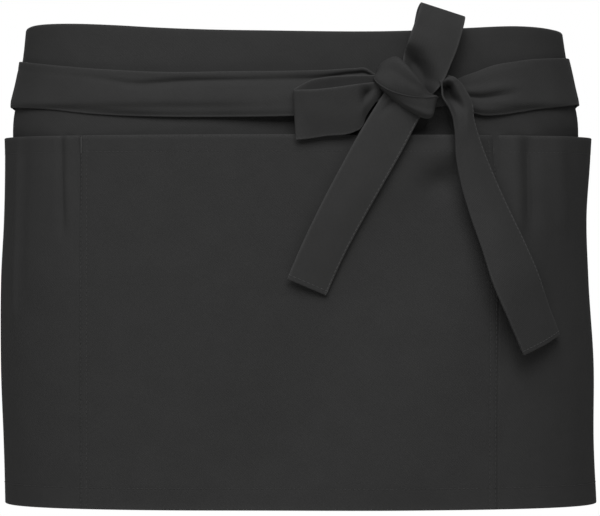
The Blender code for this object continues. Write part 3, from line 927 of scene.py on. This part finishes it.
def strip(rowsOf, steps, across, valleyHalf=0.20, valleyPower=2):
    way = np.linspace(0, 1, steps)
    value = byWay(rowsOf, way)
    left, right = lineOf(value, "left"), lineOf(value, "right")
    backLeast = bowLook["backLeast"] * mm
    least = (bowLook["rearLeast"] + bowLook["frontMore"] * ease(way, 0.45, 0.55)) * mm
    turned = np.zeros(steps)
    grid, share = [], []

    def dip(at):
        if "valley" not in value:
            return 0.0
        off = (at - value["valleyAt"]) / valleyHalf
        return value["valley"] * mm * np.exp(-(off ** valleyPower))

    if "turned" in value:  # the part folded back lies behind, from its free edge to the fold
        least = backLeast
        turned = np.maximum(value["turned"], 0.02)
        for f in np.linspace(1, 0, across // 3)[:-1]:
            under = f * turned / (1 - turned)
            point = left + (right - left) * under[:, None]
            front = np.maximum(point[:, 2] - dip(under), backLeast)
            point[:, 2] = front - bowLook["foldGap"] * ease(f, 0.0, 0.15)
            grid.append(point)
            share.append((1 - f) * turned)
    for f in (1 - np.cos(np.linspace(0, math.pi, across))) / 2:
        point = left + (right - left) * f
        point[:, 2] += value["crown"] * mm * math.sin(math.pi * f)
        point[:, 2] = np.maximum(point[:, 2] - dip(f), least)
        grid.append(point)
        share.append(turned + (1 - turned) * f)
    grid, share = np.array(grid), np.array(share)
    return grid, np.broadcast_to(way, share.shape), share


def stripPiece(name, node, made, length, wrinkle):
    grid, ways, us = made
    points = onForm(grid[..., 0], grid[..., 1], grid[..., 2] + wrinkle(ways, us))
    uv = np.stack([ways * length, us * cut["tape"]], -1)
    leftWearAndHighlight, rightWearAndHighlight = bowLook["edgeWearAndHighlight"]
    # Paler long edges: rubbed wear and a painted highlight
    wornAndHighlighted = leftWearAndHighlight * bump(us, 0, 0.03) + rightWearAndHighlight * bump(us, 1, 0.03)
    piece = clothMesh(name, points, uv, tapeCloth, wearAndHighlight=wornAndHighlighted)
    finish(piece, tapeTwill, node)
    return points


upperLoopRows = table(
    "way leftAlong leftUp leftOut rightAlong rightUp rightOut crown valley valleyAt",
    (0, 80, -4, 6.6, 86, -7, 6.6, 0, 0, 0),
    (0.1, 74, 6, 6.6, 86.5, 1, 6.6, 0, 0, 0),
    (0.22, 70.5, 19, 6.4, 91.5, 13, 6.6, 0, 0, 0),
    (0.34, 72.5, 34, 6.8, 95.8, 27, 7.2, 0, 0, 0),
    (0.44, 74.8, 47, 8, 99.8, 38.5, 8.2, 0, 0, 0),
    (0.48, 75.8, 50, 10.4, 101.6, 41.6, 10.4, 0, 0, 0),
    (0.52, 75.6, 50, 14.6, 101.5, 41.7, 14.8, 0, 0, 0),
    (0.57, 73.7, 44.6, 17, 99.5, 35.6, 17.8, 0.4, 0, 0),
    (0.646, 71.2, 37, 17.4, 96.9, 26.9, 19.4, 0.7, 0, 0.1),
    (0.7, 69.3, 31.5, 17.6, 95.1, 20.6, 19.2, 1, 0, 0.1),
    (0.76, 67.6, 25.6, 17.6, 92.9, 14.4, 18.8, 1, 1.6, 0.1),
    (0.8, 66.6, 21.8, 17.4, 91.1, 9.6, 18.7, 1, 5.2, 0.16),
    (0.844, 65.7, 17, 16.8, 89.2, 4.7, 18.8, 0.8, 9.4, 0.3),
    (0.88, 65.4, 12.5, 16.2, 87.6, 0.8, 18.8, 0.6, 11, 0.42),
    (0.94, 70, 3, 14.4, 84.6, -4, 17, 0.4, 8.6, 0.5),
    (1, 77, -6, 12, 81.9, -7.9, 13, 0, 3, 0.7),
)
leftLoopRows = table(
    "way leftAlong leftUp leftOut rightAlong rightUp rightOut crown",
    (0, 58, 3.5, 10, 58, -7, 10, 0),
    (0.1, 46.5, 4.8, 13.2, 46, -13, 11.6, -1.2),
    (0.22, 30, 4.4, 14, 32, -25, 12, -1.6),
    (0.34, 17, 3.3, 14, 18, -30, 12, -1.6),
    (0.43, 6.8, 0.8, 13.8, 8, -32.6, 12.2, -1.5),
    (0.48, -1, -3.6, 14, 0.6, -34.4, 12.6, 0),
    (0.52, -1.6, -4.6, 17, 0, -34.8, 13.2, 0),
    (0.56, 2.8, -4.7, 21.2, 5, -34.4, 13.4, 0.2),
    (0.68, 12.7, -4.4, 23.8, 17.8, -32.5, 13.4, 0.3),
    (0.81, 27.8, -2.6, 23.2, 34, -30.4, 13, 0.5),
    (0.88, 36.5, -1.2, 21, 40.2, -26.4, 12.6, 1),
    (0.93, 42, -0.4, 17.2, 42.6, -19.6, 12.8, 1.2),
    (1, 52, 1, 12, 51.9, -6.5, 11.4, 0.8),
)
leftTailRows = table(
    "way leftAlong leftUp leftOut rightAlong rightUp rightOut crown",
    (0, 60, 3, 12.4, 83, -7.5, 12.4, 0.2),
    (0.1, 53.5, -6.5, 13.4, 75.6, -19.6, 13, 0.8),
    (0.28, 40.1, -28.7, 13.4, 64.1, -42.1, 11.7, 0.8),
    (0.46, 27.8, -51.5, 13.2, 52, -64.2, 10.6, 0.8),
    (0.64, 15.9, -74.5, 12.8, 39.9, -86.3, 9.7, 0.8),
    (0.82, 4.7, -98, 12.2, 28.3, -108.8, 8.9, 0.7),
    (1, -5.7, -121.8, 11.4, 18, -131.9, 8, 0.5),
)
rightTailRows = table(
    "way leftAlong leftUp leftOut rightAlong rightUp rightOut crown turned valley valleyAt",
    (0, 85, 3, 13, 91, 5.4, 13, 0, 0.3, 0, 0.36),
    (0.022, 86.4, 0.8, 18.6, 94.5, 3.6, 18.6, 0, 0.32, 1, 0.36),
    (0.045, 87.2, -3, 20, 98, 0.8, 18, 0, 0.32, 12, 0.34),
    (0.09, 87.8, -9, 20.2, 101.6, -4.2, 17, 0, 0.34, 12.2, 0.36),
    (0.125, 91.2, -14.4, 19.4, 104.8, -9.2, 16, 0.2, 0.38, 7, 0.36),
    (0.16, 93.8, -20.6, 18.4, 106.6, -14, 14.8, 0.6, 0.42, 2, 0.36),
    (0.2, 95.3, -29, 17.6, 107.4, -20.1, 13.6, 1, 0.44, 0.6, 0.32),
    (0.287, 96.3, -45, 16.6, 112.2, -35.8, 12, 1, 0.38, 0.4, 0.36),
    (0.391, 99.4, -62.4, 16.6, 119.2, -53.6, 11, 0.9, 0.26, 0, 0.36),
    (0.495, 104.2, -81.2, 17.8, 127, -71.3, 10.2, 0.9, 0.14, 0, 0.36),
    (0.609, 110.1, -102, 20, 135.6, -90.4, 10.4, 0.9, 0.06, 0, 0.36),
    (0.739, 116.6, -125.6, 20.8, 145.8, -112.5, 10.4, 0.9, 0.03, 0, 0.36),
    (0.869, 126.4, -147.3, 19.6, 156.7, -134.9, 9.6, 0.7, 0.03, 0, 0.36),
    (1, 137.9, -169.5, 16.4, 168.3, -157.3, 8.6, 0.4, 0.03, 0, 0.36),
)


def softWrinkle(scale, size, seed):
    def rise(ways, us):
        drift = 1.4 * np.sin(us * 3 + seed)
        return size * np.sin(ways * scale + seed + drift) * np.sin(us * 4.2 + ways * 3 + seed)
    return rise


def tailTop(ways, us):  # a slanting crease below the knot
    crease = -2.0 * mm * bump(us, 0.34 - 0.8 * ways, 0.06) * (1 - ease(ways, 0.10, 0.22))
    return softWrinkle(11, 0.22 * mm, 3.1)(ways, us) + crease


def loopGather(ways, us):  # a hollow where the knot draws the loop in
    dent = -5.2 * mm * bump(ways, 0.930, 0.030) * bump(us, 0.32, 0.18)
    dent = dent + 0.8 * mm * bump(ways, 0.90, 0.03) * bump(us, 0.66, 0.14)
    return softWrinkle(16, 0.30 * mm, 1.9)(ways, us) + dent


loops, tails = bowLook["loopLength"], bowLook["tailLength"]
upperLoop = strip(upperLoopRows, 100, 26, valleyHalf=0.40)
upperLoop = [part[::-1] for part in upperLoop]  # so that its faces point outwards
upperWrinkle, tailWrinkle = softWrinkle(14, 0.25 * mm, 0.4), softWrinkle(12, 0.22 * mm, 5.2)
stripPiece("bowLoopUpper", "bow_loop_upper", upperLoop, loops["upper"], upperWrinkle)
leftLoop = strip(leftLoopRows, 110, 24)
stripPiece("bowLoopLeft", "bow_loop_left", leftLoop, loops["left"], loopGather)
leftTail = strip(leftTailRows, 110, 26)
leftTail = stripPiece("tailLeft", "tail_left", leftTail, tails["left"], tailTop)
tailAcross = 36
rightTail = strip(rightTailRows, 170, tailAcross, valleyHalf=0.27, valleyPower=4)
rightTail = stripPiece("tailRight", "tail_right", rightTail, tails["right"], tailWrinkle)

# Ends are turned in and sewn across; the open long edge is sewn too
rightFront = rightTail[tailAcross // 3 - 1:]  # without the part folded back
tapeLines = [
    stitchOn(leftTail, colShare=0.983, trim=0.09),
    stitchOn(leftTail, rowShare=0.90, trim=0.03),
    stitchOn(rightFront, colShare=0.988, trim=0.09),
    stitchOn(rightFront, rowShare=0.90, trim=0.16),
]
sewLines("tailStitches", tapeLines, yarn=tackThread)
print("loops and tails")


# Knot: rings across the wrap, through its upper edge, its ridge and its lower edge

knotRows = table(
    "way upAlong upUp upOut ridgeAlong ridgeUp ridgeOut lowAlong lowUp lowOut",
    (0, 49.4, 8.4, 11.5, 47.6, 4.6, 11.5, 49, 2.4, 9.5),
    (0.08, 51.4, 11.6, 14, 46.8, 3.2, 15, 48.8, 0.2, 11.5),
    (0.2, 55.7, 14.4, 18.4, 49, -0.2, 19, 51.5, -3, 13.5),
    (0.32, 60.4, 14.8, 23.4, 53.9, -3.8, 21.8, 56, -7.4, 15),
    (0.46, 65.6, 10.4, 26.4, 60, -6.6, 22.8, 61.5, -11.6, 17),
    (0.6, 70, 5, 27.2, 66.5, -8.5, 23.6, 67.5, -15.6, 18.5),
    (0.74, 74.4, -0.5, 25.8, 73, -9.4, 24.2, 73.5, -18.6, 19.5),
    (0.87, 79, -5.6, 20.4, 79, -9.7, 24, 79.5, -20.6, 19.5),
    (0.95, 82.8, -7.8, 16.8, 83.6, -9, 21.5, 82.6, -19.6, 17.5),
    (1, 84.6, -8.6, 12.8, 85.4, -9.6, 15, 84, -16.6, 13),
)


knotLook = {
    "steps": 60,
    "around": 40,
    "backOut": 7.4 * mm,
    "wrinkle": 0.35 * mm,
    "crease": 0.5 * mm,
    "lip": 0.7 * mm,  # the wrap's edge, with a groove beside it
    "groove": 0.5 * mm,
    # a paler line along the wrap's lip: rubbed wear and a painted highlight
    "lipWearAndHighlight": 0.9,
}


def knotPoints():
    way = np.linspace(0, 1, knotLook["steps"])
    value = byWay(knotRows, way)
    upper, ridge, lower = (lineOf(value, name) for name in ("up", "ridge", "low"))
    upperBack, lowerBack = upper.copy(), lower.copy()
    upperBack[:, 2] = lowerBack[:, 2] = knotLook["backOut"]
    crown = (upper + ridge) / 2 + np.array([0.7, 0.7, 0.9]) * mm
    under = (ridge + lower) / 2 + np.array([-0.3, -0.3, 0.2]) * mm
    lip = ridge + np.array([0.5, 0.9, 0.1]) * mm
    corners = np.stack([upperBack, upper, crown, lip, ridge, under, lower, lowerBack], 1)
    count = corners.shape[1]
    t = np.linspace(0, count, knotLook["around"], endpoint=False)
    i = t.astype(int)
    f = (t - i)[None, :, None]
    p0, p1, p2, p3 = (corners[:, (i + k) % count] for k in (-1, 0, 1, 2))
    bend = (2 * p0 - 5 * p1 + 4 * p2 - p3) * f ** 2 + (3 * p1 - p0 - 3 * p2 + p3) * f ** 3
    rings = 0.5 * (2 * p1 + (p2 - p0) * f + bend)  # a smooth closed curve through the corners
    return rings, *np.meshgrid(way, t / count, indexing="ij")


def makeKnot():
    rings, ways, ts = knotPoints()
    crease = knotLook["wrinkle"] * np.sin(ts * 40 + ways * 5) * bump(ts, 0.33, 0.12)
    crease -= knotLook["crease"] * bump(ts, 0.20 + 0.10 * ways, 0.018) * ease(ways, 0.1, 0.4)
    crease += knotLook["lip"] * bump(ts, 0.455, 0.022)
    crease -= knotLook["groove"] * bump(ts, 0.405, 0.025)
    points = onForm(rings[..., 0], rings[..., 1], rings[..., 2] + crease)
    steps, around = points.shape[:2]
    tips = points[[0, -1]].mean(1)  # both ends close to a point
    verts = np.concatenate([points.reshape(-1, 3), tips])
    index = np.arange(steps * around).reshape(steps, around)
    after = np.roll(index, -1, axis=1)
    faces = np.stack([index[:-1], after[:-1], after[1:], index[1:]], -1).reshape(-1, 4).tolist()
    faces += [[int(a), steps * around, int(b)] for a, b in zip(index[0], after[0])]
    faces += [[int(b), steps * around + 1, int(a)] for a, b in zip(index[-1], after[-1])]
    uvs = np.stack([ts * 0.06, ways * 0.05], -1).reshape(-1, 2)
    uvs = np.concatenate([uvs, [[0, 0], [0, 0.05]]])
    # Paler lip along the ridge: rubbed wear and a painted highlight
    wornAndHighlighted = knotLook["lipWearAndHighlight"] * bump(ts, 0.455, 0.03)
    wornAndHighlighted = np.concatenate([wornAndHighlighted.reshape(-1), [0, 0]])
    knot = makeMesh("bowKnot", verts, faces, uvs, wornAndHighlighted)
    cage = bmesh.new()
    cage.from_mesh(knot.data)
    bmesh.ops.recalc_face_normals(cage, faces=cage.faces)
    cage.to_mesh(knot.data)
    cage.free()
    return knot


finish(makeKnot(), tapeTwill, "bow_knot")
print("knot")

# Studio: white room light, soft key from above the camera, pale floor well below

studio = {
    "scale": 0.00065,  # metres a pixel at the middle of the waist
    "picture": (600, 516),
    "distance": 3.0,
    "middle": (0.00195, -0.109),
    "roomLight": 0.22,
    "aim": (0.0, 0.0, -0.1),
    "lights": {
        "softKey": {"energy": 55.0, "size": 1.6, "place": (0.30, -2.0, 1.80)},
        "broadFill": {"energy": 46.5, "size": 1.8, "place": (-0.80, -1.9, 1.75)},
        "backFillLeft": {"energy": 38.0, "size": 1.0, "place": (-0.35, 2.8, 1.30)},
        "backFillRight": {"energy": 38.0, "size": 1.0, "place": (0.35, 2.8, 1.30)},
    },
    "floor": {"z": -0.95, "radius": 1.6, "colour": "#f0f0ee", "roughness": 0.9, "specular": 0.5},
}

bpy.context.scene.view_settings.view_transform = "Standard"
camera = addObject("camera", bpy.data.cameras.new("camera"))
camera.data.sensor_width = 36.0
pictureWidth = studio["picture"][0] * studio["scale"]
camera.data.lens = camera.data.sensor_width * studio["distance"] / pictureWidth
camera.location = (studio["middle"][0], -studio["distance"], studio["middle"][1])
camera.rotation_euler = (math.radians(90), 0.0, 0.0)
bpy.context.scene.camera = camera

world = bpy.data.worlds.new("studioRoom")
bpy.context.scene.world = world
world.use_nodes = True
tree = world.node_tree
tree.nodes.clear()
white = (1.0, 1.0, 1.0, 1.0)
seen = addNode(tree, "ShaderNodeBackground", {"Color": white, "Strength": 1.0})
lit = addNode(tree, "ShaderNodeBackground", {"Color": white, "Strength": studio["roomLight"]})
ray = addNode(tree, "ShaderNodeLightPath")
both = addNode(tree, "ShaderNodeMixShader", i0=ray.outputs["Is Camera Ray"], i1=lit, i2=seen)
addNode(tree, "ShaderNodeOutputWorld", Surface=both)

for name, look in studio["lights"].items():
    lamp = bpy.data.lights.new(name, "AREA")
    lamp.energy = look["energy"]
    lamp.shape = "SQUARE"
    lamp.size = look["size"]
    stand = addObject(name, lamp)
    stand.location = look["place"]
    x, y, z = np.array(studio["aim"]) - np.array(look["place"])
    stand.rotation_euler = (math.atan2(math.hypot(x, y), -z), 0.0, math.atan2(-x, y))

# Matt card: pale, even and hardly glossy
ground = studio["floor"]
bpy.ops.mesh.primitive_circle_add(
    vertices=96, radius=ground["radius"], fill_type="NGON", location=(0.0, 0.0, ground["z"]))
floor = bpy.context.object
floor.name = "floor"
card, _, cardShader = newMaterial("mattCard", ground["roughness"], ground["specular"])
cardShader.inputs["Base Color"].default_value = linear(ground["colour"])
floor.data.materials.append(card)
print("studio")
